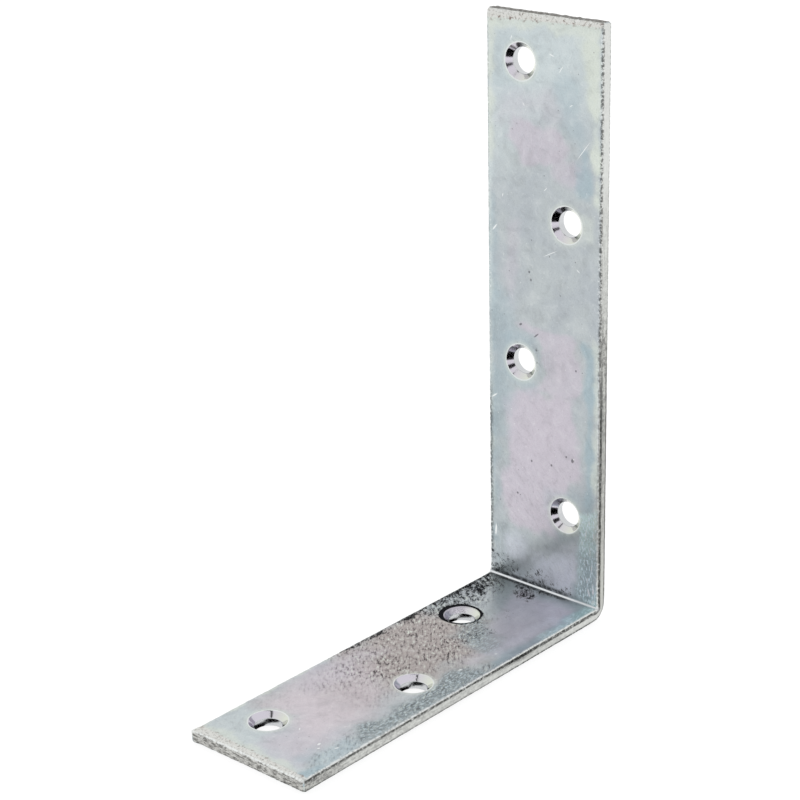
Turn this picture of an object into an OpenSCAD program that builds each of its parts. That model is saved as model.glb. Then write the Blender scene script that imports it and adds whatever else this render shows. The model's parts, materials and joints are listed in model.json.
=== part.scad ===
/* [Legs] */
// Length of the upright leg, from the underside of the foot to its free end
upright_length = 140; // [100:1:300]
// Length of the foot, from the back of the upright to its free end
foot_length = 100; // [70:1:240]

/* [Strip] */
// Width of the flat strip
strip_width = 32; // [28:0.5:60]
// Thickness of the flat strip
strip_thickness = 3; // [2:0.1:6]
// Radius that rolling leaves on the long edges
edge_radius = 0.4; // [0.2:0.05:0.8]
// Radius of the free corners, seen square to the leg
corner_radius = 0.8; // [0.4:0.1:4]

/* [Bend] */
// Radius on the inner side of the fold
inside_bend_radius = 0.6; // [0.3:0.1:4]

/* [Sheared ends] */
// How far the shear's roll-over reaches along the inner face
roll_over_length = 1.8; // [0.6:0.1:3]
// How deep the roll-over sinks at the free end
roll_over_depth = 0.35; // [0.1:0.05:0.6]

/* [Screw holes] */
// Diameter of the straight bore
screw_hole_diameter = 6; // [3:0.1:7]
// Diameter of the countersink's mouth, on the inner face
countersink_diameter = 8.5; // [7.5:0.1:11]
// Full angle of the countersink
countersink_angle = 90; // [80:1:120]
// Sideways step of each hole from the centre line, to alternate sides
hole_stagger = 6.5; // [0:0.5:8]

/* [Holes of the upright] */
// Number of holes
upright_hole_count = 4; // [2:1:6]
// Distance from the underside of the foot to the lowest hole
upright_heel_margin = 24; // [12:0.5:40]
// Distance from the free end to the highest hole
upright_end_margin = 11; // [8:0.5:30]

/* [Holes of the foot] */
// Number of holes
foot_hole_count = 3; // [2:1:5]
// Distance from the back of the upright to the nearest hole
foot_heel_margin = 25; // [12:0.5:35]
// Distance from the free end to the furthest hole
foot_end_margin = 12; // [8:0.5:25]

/* [Hidden] */
$fn = 96;

// Angle between the inner face and the first of the roll-over's arc
roll_over_entry_angle = 5;
// How far cuts run past the faces they open
overrun = 1;

bend_outside_radius = inside_bend_radius + strip_thickness;
half_width = strip_width / 2;
flat_width = strip_width - 2 * edge_radius;
flat_thickness = strip_thickness - 2 * edge_radius;
bore_radius = screw_hole_diameter / 2;
mouth_radius = countersink_diameter / 2;
countersink_slope = 1 / tan(countersink_angle / 2);
countersink_depth = (mouth_radius - bore_radius) * countersink_slope;

// Cross-section of the strip as it lies in the fold: x out from the bend axis, y across the width
module strip_section() {
    translate([inside_bend_radius, -flat_width / 2])
        square([strip_thickness, flat_width]);
    translate([inside_bend_radius + edge_radius, -half_width])
        square([flat_thickness, strip_width]);
    for (x = [inside_bend_radius + edge_radius, bend_outside_radius - edge_radius])
        for (y = [-flat_width / 2, flat_width / 2])
            translate([x, y])
                circle(r = edge_radius);
}

// What is trimmed off the two corners of a free end
module corner_trim(reach) {
    translate([-overrun, 0, 0])
        rotate([90, 0, 90])
            linear_extrude(height = strip_thickness + 2 * overrun)
                for (side = [0, 1])
                    mirror([side, 0])
                        translate([half_width - corner_radius, reach - corner_radius])
                            difference() {
                                square(corner_radius + overrun);
                                circle(r = corner_radius);
                            }
}

// What the shear pulls down at a free end: the corner of the inner face outside a shallow arc
module roll_over(reach) {
    exit_angle = 2 * atan(roll_over_depth / roll_over_length) - roll_over_entry_angle;
    arc_radius = roll_over_length / (sin(exit_angle) - sin(roll_over_entry_angle));
    arc_x = strip_thickness - arc_radius * cos(roll_over_entry_angle);
    arc_z = reach - roll_over_length - arc_radius * sin(roll_over_entry_angle);
    translate([0, half_width + overrun, 0])
        rotate([90, 0, 0])
            linear_extrude(height = strip_width + 2 * overrun)
                difference() {
                    translate([strip_thickness - 2 * roll_over_depth, reach - roll_over_length])
                        square([2 * roll_over_depth + overrun, roll_over_length + overrun]);
                    translate([arc_x, arc_z])
                        circle(r = arc_radius, $fn = 4 * $fn);
                }
}

// A countersunk screw hole through the strip, at the origin, open towards +x
module screw_hole() {
    rotate([0, 90, 0]) {
        translate([0, 0, -overrun])
            cylinder(r = bore_radius, h = strip_thickness + 2 * overrun);
        translate([0, 0, strip_thickness - countersink_depth])
            cylinder(
                r1 = bore_radius,
                r2 = mouth_radius + overrun / countersink_slope,
                h = countersink_depth + overrun
            );
    }
}

// One straight leg along +z, outer face on x = 0, with its row of staggered holes
module leg(reach, hole_count, heel_margin, end_margin, first_side) {
    pitch = (reach - heel_margin - end_margin) / (hole_count - 1);
    difference() {
        translate([bend_outside_radius, 0, bend_outside_radius])
            linear_extrude(height = reach - bend_outside_radius)
                rotate(180)
                    strip_section();
        corner_trim(reach);
        roll_over(reach);
        for (i = [0 : hole_count - 1])
            let (side = i % 2 == 0 ? first_side : -first_side)
                translate([0, side * hole_stagger, heel_margin + i * pitch])
                    screw_hole();
    }
}

// The quarter turn of strip between the two legs
module fold() {
    translate([bend_outside_radius, 0, bend_outside_radius])
        rotate([90, 0, 0])
            rotate([0, 0, 180])
                rotate_extrude(angle = 90)
                    strip_section();
}

// The whole bracket: one strip, folded once; origin at the heel, half-way across the strip
module angle_bracket() {
    color("#b9c3ca") {
        leg(upright_length, upright_hole_count, upright_heel_margin, upright_end_margin, 1);
        mirror([0, 0, 1])
            rotate([0, 90, 0])
                leg(foot_length, foot_hole_count, foot_heel_margin, foot_end_margin, -1);
        fold();
    }
}

angle_bracket();
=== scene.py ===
import json
import math

import bmesh
import bpy
import numpy as np
from mathutils import Matrix, Vector


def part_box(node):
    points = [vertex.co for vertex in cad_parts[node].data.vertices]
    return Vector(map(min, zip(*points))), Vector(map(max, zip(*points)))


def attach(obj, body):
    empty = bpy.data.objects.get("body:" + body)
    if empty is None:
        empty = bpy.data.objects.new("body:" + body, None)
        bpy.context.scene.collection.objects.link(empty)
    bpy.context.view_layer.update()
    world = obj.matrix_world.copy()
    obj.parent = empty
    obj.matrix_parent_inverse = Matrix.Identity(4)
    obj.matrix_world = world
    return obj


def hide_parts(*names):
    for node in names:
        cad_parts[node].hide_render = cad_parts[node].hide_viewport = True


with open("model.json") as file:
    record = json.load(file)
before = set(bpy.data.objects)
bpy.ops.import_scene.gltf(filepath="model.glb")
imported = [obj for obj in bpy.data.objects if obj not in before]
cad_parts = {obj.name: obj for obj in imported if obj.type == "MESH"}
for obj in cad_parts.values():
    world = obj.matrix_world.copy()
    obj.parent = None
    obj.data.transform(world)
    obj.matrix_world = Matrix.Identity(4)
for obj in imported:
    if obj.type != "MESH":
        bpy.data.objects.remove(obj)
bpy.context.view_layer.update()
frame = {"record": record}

# Lengths are in millimetres until the mesh is written; Blender's own unit is the metre.
metre = 1000.0
boxLow, boxHigh = ((np.array(corner) * metre).tolist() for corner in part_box("angle_bracket"))

strip = {
    "footLength": boxHigh[0],
    "uprightLength": boxHigh[2],
    "width": boxHigh[1] - boxLow[1],
    "thickness": 3.0,
    "edgeRadius": 0.4,          # rolled long edges
    "cornerRadius": 0.8,        # free corners, seen square to the leg
    "insideBendRadius": 0.6,
    "endRollLength": 1.8,       # roll-over that the shear leaves on the inner face
    "endRollDepth": 0.35,
    "endRollSkew": 0.3,         # share by which it is longer on one side than on the other
    "sideCrown": 0.07,          # the long sides are faintly round
    "bendSwell": 0.32,          # how far the fold squeezes the inner edge sideways
    "bendSwellReach": 2.4,
    "bendPinch": 1.6,           # how far the swell turns into a pinch towards the outer face
    "tearSlant": 0.16,          # the sheared end face leans back towards the outer face
    "tearFrom": 2.0 / 7.0,      # share of the thickness at which it begins to
    "footEndDraw": (0.35, 0.80),    # how far the shear drew the foot's end out, right and left
    "footEndReach": 6.0,            # how much of the foot that stretch spreads over
    "footCornerDraw": 0.45,         # the left corner's own lip
    "rimShare": 0.75,           # where the extra line lies on the flat next to a rolled edge
    "cell": 0.62,               # longest cell of the open stretches
    "bendCells": 16,
    "rimCells": 6,
    "middleCells": 4,
    "sideCells": 7,
    "arcCells": 5,
    "cornerCells": 6,
}

hole = {
    "mouthRadius": 4.25,
    "mouthRound": 0.22,         # worn lip where the cone meets the face
    "throatRound": 0.12,        # where the cone meets the bore
    "backRound": 0.18,          # rim on the outer face
    "lipWidth": 0.5,            # last round ring outside the lip
    "patchHalf": 5.5,           # the square of sheet that the rings replace
    "patchCells": 20,
    "coneCells": 6,
    "boreCells": 5,
    "roundCells": 4,
    "fillCells": 5,
    "fillEase": 0.8,            # below 1 the rings crowd towards the mouth
    "blackRing": 0.33,          # grime round the mouth of the foot hole next to the fold
    "ringLean": 0.45,           # share by which it is wider on the left and narrower on the right
    "ringFray": 7.0,            # how many widths the loose strokes reach beyond it
    "ringSoot": 2.0,            # its strength as soot
    "ringSoft": 1.6,            # widths from its middle at which it ends
    "ringInside": 0.1,          # how far it laps into the mouth
}


def smooth(value):
    # smoothstep: 3 t^2 - 2 t^3 with t held between 0 and 1
    t = np.clip(value, 0.0, 1.0)
    return t * t * (3.0 - 2.0 * t)


def ripple(place, wavelength, seed, waves=20, lengths=(0.6, 1.6)):
    # sum of plane waves in random directions, each near the wavelength, about -1.5 to 1.5
    rng = np.random.default_rng(seed)
    direction = rng.normal(size=(waves, 3))
    direction /= np.linalg.norm(direction, axis=1, keepdims=True)
    number = 2.0 * np.pi / (wavelength * rng.uniform(*lengths, waves))
    phase = rng.uniform(0.0, 2.0 * np.pi, waves)
    return np.cos(place @ (direction * number[:, None]).T + phase).sum(axis=1) / math.sqrt(waves)


# The strip is drawn flat first: along it from the foot's free end, across it, and through its thickness
# from the inner face. The fold comes last.
thickness = strip["thickness"]
halfWidth = strip["width"] / 2.0
innerBend = strip["insideBendRadius"]
outerBend = innerBend + thickness
bendStart = strip["footLength"] - outerBend
bendRun = (innerBend + thickness / 2.0) * math.pi / 2.0
bendEnd = bendStart + bendRun
stripLength = bendEnd + strip["uprightLength"] - outerBend


def alongUpright(height):
    # place along the strip of a height on the upright
    return bendEnd + height - outerBend


def heightAlong(along):
    # the way back: height on the upright of a place along the strip
    return along - bendEnd + outerBend


def alongFoot(reach):
    # place along the strip of a reach on the foot; the same rule is the way back
    return strip["footLength"] - reach


def foldStrip(flat):
    # foot: x falls as along grows; fold: a quarter turn about the bend axis; upright: z grows with along
    along, across, depth = flat.T
    turn = np.clip((along - bendStart) / bendRun, 0.0, 1.0) * math.pi / 2.0
    radius = innerBend + depth
    x = outerBend - radius * np.sin(turn) + np.maximum(bendStart - along, 0.0)
    z = outerBend - radius * np.cos(turn) + np.maximum(along - bendEnd, 0.0)
    return np.stack([x, across, z], axis=1)


def readHoles():
    # the CAD record's bores, as (along, across, radius) on the flat strip
    found = []
    for mount in frame["record"]["mounts"]:
        if mount["kind"] != "bore":
            continue
        x, y, z = (v * metre for v in mount["pos_m"])
        onUpright = abs(mount["axis"][0]) > 0.5
        found.append((alongUpright(z) if onUpright else alongFoot(x), y, mount["dims"]["r_mm"]))
    return np.array(sorted(found))


holes = readHoles()
print("holes on the flat strip", np.round(holes, 2).tolist())


def fromEnds(along):
    return np.minimum(along, stripLength - along)


def fromSides(across):
    return halfWidth - np.abs(across)


def holeRadii(along, across):
    # distance of every point from the axis of every hole
    return np.hypot(along[:, None] - holes[:, 0], across[:, None] - holes[:, 1])


def spread(knots):
    # lines through the knots (place, cells to the next knot), evenly spaced between two knots
    lines = [np.linspace(low, high, cells + 1)[:-1] for (low, cells), (high, _) in zip(knots, knots[1:])]
    return np.concatenate([*lines, [knots[-1][0]]])


def gridLines():
    # lines along and across the faces: set cells in the holes' squares and the fold, even ones in between
    half = hole["patchHalf"]
    inset = strip["cornerRadius"]
    blocks = [(along - half, along + half, hole["patchCells"]) for along, _, _ in holes]
    blocks.append((bendStart, bendEnd, strip["bendCells"]))
    blocks.sort()
    knots, place = [], inset
    for low, high, cells in blocks:
        knots.append((place, math.ceil((low - place) / strip["cell"])))
        knots.append((low, cells))
        place = high
    last = stripLength - inset
    knots.append((place, math.ceil((last - place) / strip["cell"])))
    knots.append((last, 0))
    side = np.abs(holes[:, 1]).max()
    near, far = side - half, side + half
    edge = halfWidth - inset
    rim, cells = strip["rimCells"], hole["patchCells"]
    acrossKnots = [
        (-edge, rim), (-far, cells), (-near, strip["middleCells"]), (near, cells), (far, rim), (edge, 0),
    ]
    return spread(knots), spread(acrossKnots)


def gridFaces(rows, columns, closed=False):
    # quads of a rows x columns grid of points, the last column joined to the first if it is closed
    index = np.arange(rows * columns).reshape(rows, columns)
    ahead = np.roll(index, -1, axis=1) if closed else index[:, 1:]
    here = index if closed else index[:, :-1]
    return np.stack([here[:-1], ahead[:-1], ahead[1:], here[1:]], axis=-1).reshape(-1, 4)


def sheet(alongLines, acrossLines, depth):
    # one face of the strip: a plain grid with a square left open round each hole
    along, across = np.meshgrid(alongLines, acrossLines, indexing="ij")
    points = np.stack([along, across, np.full_like(along, depth)], axis=-1).reshape(-1, 3)
    faces = gridFaces(len(alongLines), len(acrossLines))
    centres = points[faces].mean(axis=1)
    gaps = np.abs(centres[:, None, :2] - holes[None, :, :2]).max(axis=2)
    return points, faces[(gaps > hole["patchHalf"]).all(axis=1)]


def belt(alongLines, acrossLines):
    # the edge: a profile (outwards, depth) of two round arcs and a side, carried round the sheet's outline;
    # at a corner the profile turns about the sheet's corner point
    low, high = alongLines[0], alongLines[-1]
    left, right = acrossLines[0], acrossLines[-1]
    sides = [
        (np.full_like(acrossLines, low), acrossLines, 180.0),
        (alongLines, np.full_like(alongLines, right), 90.0),
        (np.full_like(acrossLines, high), acrossLines[::-1], 0.0),
        (alongLines[::-1], np.full_like(alongLines, left), -90.0),
    ]
    along, across, facing = [], [], []
    for sideAlong, sideAcross, angle in sides:
        fan = angle - np.linspace(0.0, 90.0, strip["cornerCells"] + 1)[1:-1]
        along += [sideAlong, np.full_like(fan, sideAlong[-1])]
        across += [sideAcross, np.full_like(fan, sideAcross[-1])]
        facing += [np.full_like(sideAlong, angle), fan]
    along, across, facing = (np.concatenate(part) for part in (along, across, facing))
    facing = np.radians(facing)
    arc = np.linspace(0.0, math.pi / 2.0, strip["arcCells"] + 1)
    radius, reach = strip["edgeRadius"], strip["cornerRadius"]
    out = reach - radius + radius * np.sin(arc)
    down = radius - radius * np.cos(arc)
    flatOut = np.array([0.0, strip["rimShare"] * (reach - radius)])
    level = np.zeros_like(flatOut)
    sideDown = np.linspace(radius, thickness - radius, strip["sideCells"] + 1)[1:-1]
    outwards = np.concatenate([flatOut, out, np.full_like(sideDown, reach), out[::-1], flatOut[::-1]])
    depth = np.concatenate([level, down, sideDown, thickness - down[::-1], level + thickness])
    points = np.stack([
        along + outwards[:, None] * np.cos(facing),
        across + outwards[:, None] * np.sin(facing),
        np.repeat(depth[:, None], len(along), axis=1),
    ], axis=-1)
    return points.reshape(-1, 3), gridFaces(len(depth), len(along), closed=True)


def roundCorner(centreRadius, centreDepth, size, start, end, cells):
    # part of a circle in the (radius, depth) plane, angles in degrees
    angle = np.radians(np.linspace(start, end, cells + 1))
    return np.stack([centreRadius + size * np.cos(angle), centreDepth + size * np.sin(angle)], axis=1)


def holeProfile(bore):
    # (radius, depth) from the inner face: worn lip, 45 degree cone, round throat, straight bore, back rim
    tangent = math.tan(math.radians(45.0 / 2.0))
    mouth, cells = hole["mouthRadius"], hole["roundCells"]
    lip, throat, back = hole["mouthRound"], hole["throatRound"], hole["backRound"]
    coneDepth = mouth - bore
    lipArc = roundCorner(mouth + lip * tangent, lip, lip, -90.0, -135.0, cells)
    throatArc = roundCorner(bore + throat, coneDepth + throat * tangent, throat, -135.0, -180.0, cells)
    backArc = roundCorner(bore + back, thickness - back, back, 180.0, 90.0, cells)
    share = np.linspace(0.0, 1.0, hole["coneCells"] + 1)[1:-1, None]
    cone = lipArc[-1] * (1.0 - share) + throatArc[0] * share
    share = np.linspace(0.0, 1.0, hole["boreCells"] + 1)[1:-1, None]
    wall = throatArc[-1] * (1.0 - share) + backArc[0] * share
    return np.concatenate([lipArc, cone, throatArc, wall, backArc])


def holeRings(along, across, bore):
    # rings from the square opening of the inner sheet, through the hole, to the opening of the outer sheet
    half, cells = hole["patchHalf"], hole["patchCells"]
    step = np.linspace(-half, half, cells + 1)[:-1]
    square = np.concatenate([
        np.stack([step, np.full_like(step, -half)], axis=1),
        np.stack([np.full_like(step, half), step], axis=1),
        np.stack([-step, np.full_like(step, half)], axis=1),
        np.stack([np.full_like(step, -half), -step], axis=1),
    ])
    angle = np.radians(-135.0) + np.arange(4 * cells) * 2.0 * np.pi / (4 * cells)
    circle = np.stack([np.cos(angle), np.sin(angle)], axis=1)
    share = np.linspace(0.0, 1.0, hole["fillCells"] + 1)[:, None, None] ** hole["fillEase"]
    outer = (hole["mouthRadius"] + hole["lipWidth"]) * circle
    fill = (1.0 - share) * square + share * outer
    profile = holeProfile(bore)
    rings = profile[:, :1, None] * circle
    flat = np.concatenate([fill, rings, fill[::-1]])
    depth = np.concatenate([np.zeros(len(fill)), profile[:, 1], np.full(len(fill), thickness)])
    points = np.concatenate([
        flat + np.array([along, across]),
        np.repeat(depth[:, None, None], len(circle), axis=1),
    ], axis=-1)
    return points.reshape(-1, 3), gridFaces(len(depth), len(circle), closed=True)


def weld(patches):
    # joins the patches at points that coincide; a quad with two equal corners becomes a triangle
    starts = np.cumsum([0] + [len(points) for points, _ in patches])
    points = np.concatenate([points for points, _ in patches])
    faces = np.concatenate([faces + start for (_, faces), start in zip(patches, starts)])
    steps, offset = 1.0e4, 0.37     # steps per millimetre; the offset keeps round sizes off a border
    key = np.round(points * steps + offset).astype(np.int64)
    _, first, inverse = np.unique(key, axis=0, return_index=True, return_inverse=True)
    faces = inverse.reshape(-1)[faces]
    repeated = faces == np.roll(faces, -1, axis=1)
    pinched = repeated.any(axis=1)
    triangles = faces[pinched][~repeated[pinched]].reshape(-1, 3)
    return points[first], faces[~pinched], triangles


def shapeEdges(flat):
    # what rolling, shearing and folding do to the plain strip, still flat
    along, across, depth = flat.T.copy()
    level = depth / thickness
    fromEnd = fromEnds(along)
    length = strip["endRollLength"] * (1.0 - strip["endRollSkew"] * across / halfWidth)
    rolled = np.clip(1.0 - fromEnd / length, 0.0, 1.0) ** 2
    depth += strip["endRollDepth"] * rolled * (1.0 - level) ** 2
    atEnd = smooth(1.0 - fromEnd / strip["cornerRadius"])
    towardsEnd = np.where(along < stripLength / 2.0, -1.0, 1.0)
    torn = smooth((level - strip["tearFrom"]) / (1.0 - strip["tearFrom"]))
    along -= towardsEnd * atEnd * strip["tearSlant"] * torn
    atSide = smooth((np.abs(across) - halfWidth + strip["cornerRadius"]) / strip["cornerRadius"])
    crown = strip["sideCrown"] * (1.0 - (2.0 * level - 1.0) ** 2)
    bendMiddle = (bendStart + bendEnd) / 2.0
    swell = np.exp(-((along - bendMiddle) / strip["bendSwellReach"]) ** 2)
    swell *= strip["bendSwell"] * (1.0 - strip["bendPinch"] * level)
    across += np.sign(across) * atSide * (crown + swell)
    right, left = strip["footEndDraw"]
    nearEnd = smooth(1.0 - along / strip["footEndReach"])
    along -= nearEnd * (right + (left - right) * (0.5 - 0.5 * across / halfWidth))
    lip = smooth(1.0 - np.hypot(along, across + halfWidth) / (2.0 * strip["cornerRadius"]))
    along -= strip["footCornerDraw"] * lip
    across -= strip["footCornerDraw"] * lip
    return np.stack([along, across, depth], axis=1)


wearAndShade = {
    # wavelength, height and random seed
    "faceWave": (14.0, 0.015, 3),   # faint waves in the faces
    "edgeWave": (2.4, 0.018, 5),    # nicks along the long edges
    "sideGrain": (0.9, 0.022, 7),
    "endGrain": (0.8, 0.060, 11),   # torn metal of the sheared ends
    "rollDent": (2.2, 0.045, 13),   # lumps in the roll-over
    # how far these reach in from the side or the end
    "edgeReach": 0.9,
    "sideReach": 0.25,
    "endReach": 0.4,
    "rollReach": 2.6,
    "endFade": 0.2,                 # shares of the thickness over which torn metal begins and lumps end
    "rollFade": 0.25,
    "mouthFade": (-0.3, 0.9),       # from a hole's mouth, where the relief begins and is full
    # how worn the long sides are, from 0 to 1: (height, wear) up the upright, (reach, wear) along the foot
    "uprightSide": [(4, 0.15), (14, 0.20), (22, 0.50), (45, 0.60), (50, 0.9), (66, 0.9), (76, 0.4),
                    (98, 0.25), (106, 0.10), (140, 0.10)],
    "footSide": [(4, 0.15), (12, 0.22), (40, 0.28), (56, 0.42), (88, 0.50), (95, 0.90), (100, 1.0)],
    # how clear the two dark lines of painted shade along each side are, in the same way
    "uprightLines": [(0, 1.0), (50, 1.0), (64, 0.3), (84, 0.0)],
    "footLines": [(0, 1.0), (60, 1.0), (100, 0.85)],
    # grime along the left inner edge of the upright: (height, grime), and how far in it is full and ends
    "leftGrime": [(6, 0.0), (10, 1.0), (44, 1.0), (54, 0.0)],
    "grimeReach": (0.33, 1.43),
}


def surfaceRelief(flat):
    # how far each point stands out along its normal
    along, across, depth = flat.T
    fromEnd = fromEnds(along)
    fromSide = fromSides(across)
    level = depth / thickness
    edge = smooth(1.0 - fromSide / wearAndShade["edgeReach"])
    side = smooth(1.0 - fromSide / wearAndShade["sideReach"])
    end = smooth(1.0 - fromEnd / wearAndShade["endReach"]) * smooth(level / wearAndShade["endFade"])
    roll = smooth(1.0 - fromEnd / wearAndShade["rollReach"]) * smooth(1.0 - level / wearAndShade["rollFade"])
    relief = np.zeros(len(flat))
    for name, weight in (
        ("faceWave", 1.0 - edge), ("edgeWave", edge * (1.0 - 0.5 * side)), ("sideGrain", side),
        ("endGrain", end), ("rollDent", roll),
    ):
        wavelength, height, seed = wearAndShade[name]
        relief += weight * height * ripple(flat, wavelength, seed)
    radius = holeRadii(along, across).min(axis=1)
    none, full = wearAndShade["mouthFade"]
    return relief * smooth((radius - hole["mouthRadius"] - none) / (full - none))
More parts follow.
